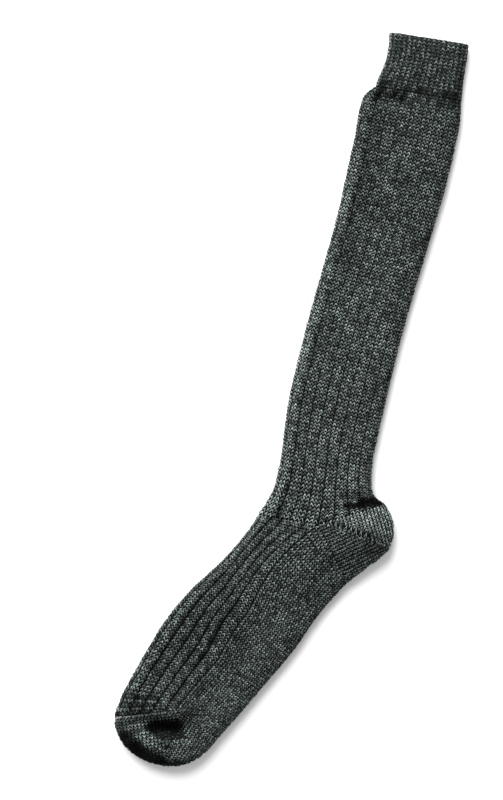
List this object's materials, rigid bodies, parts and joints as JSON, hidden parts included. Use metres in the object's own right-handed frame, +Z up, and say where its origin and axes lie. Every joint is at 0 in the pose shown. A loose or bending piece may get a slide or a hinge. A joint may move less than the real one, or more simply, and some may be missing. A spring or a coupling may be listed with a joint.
{
  "type": "work sock",
  "caption": "Knee-high work sock in thick ribbed grey-green wool, lying flat on its side, with a ribbed cuff, turned heel, ribbed instep, plain sole and gathered toe.",
  "frame": {"origin": "on the surface that the sock lies on, under the middle of its bounding box", "axes": "+Y along the leg from the heel to the cuff, +Z up out of the surface, +X towards the calf and heel side"},
  "size_m": [0.1853, 0.6165, 0.0182],
  "materials": {
    "cuff_wool": "matte marled wool knit",
    "leg_wool": "matte marled wool knit",
    "heel_wool": "matte marled wool knit",
    "foot_wool": "matte marled wool knit",
    "toe_wool": "matte marled wool knit",
    "seam_wool": "matte marled wool knit"
  },
  "bodies": {
    "root": {"cuff": "cuff_wool", "leg": "leg_wool", "heel": "heel_wool", "foot": "foot_wool", "toe": "toe_wool", "toe_seam": "seam_wool"}
  },
  "joints": []
}
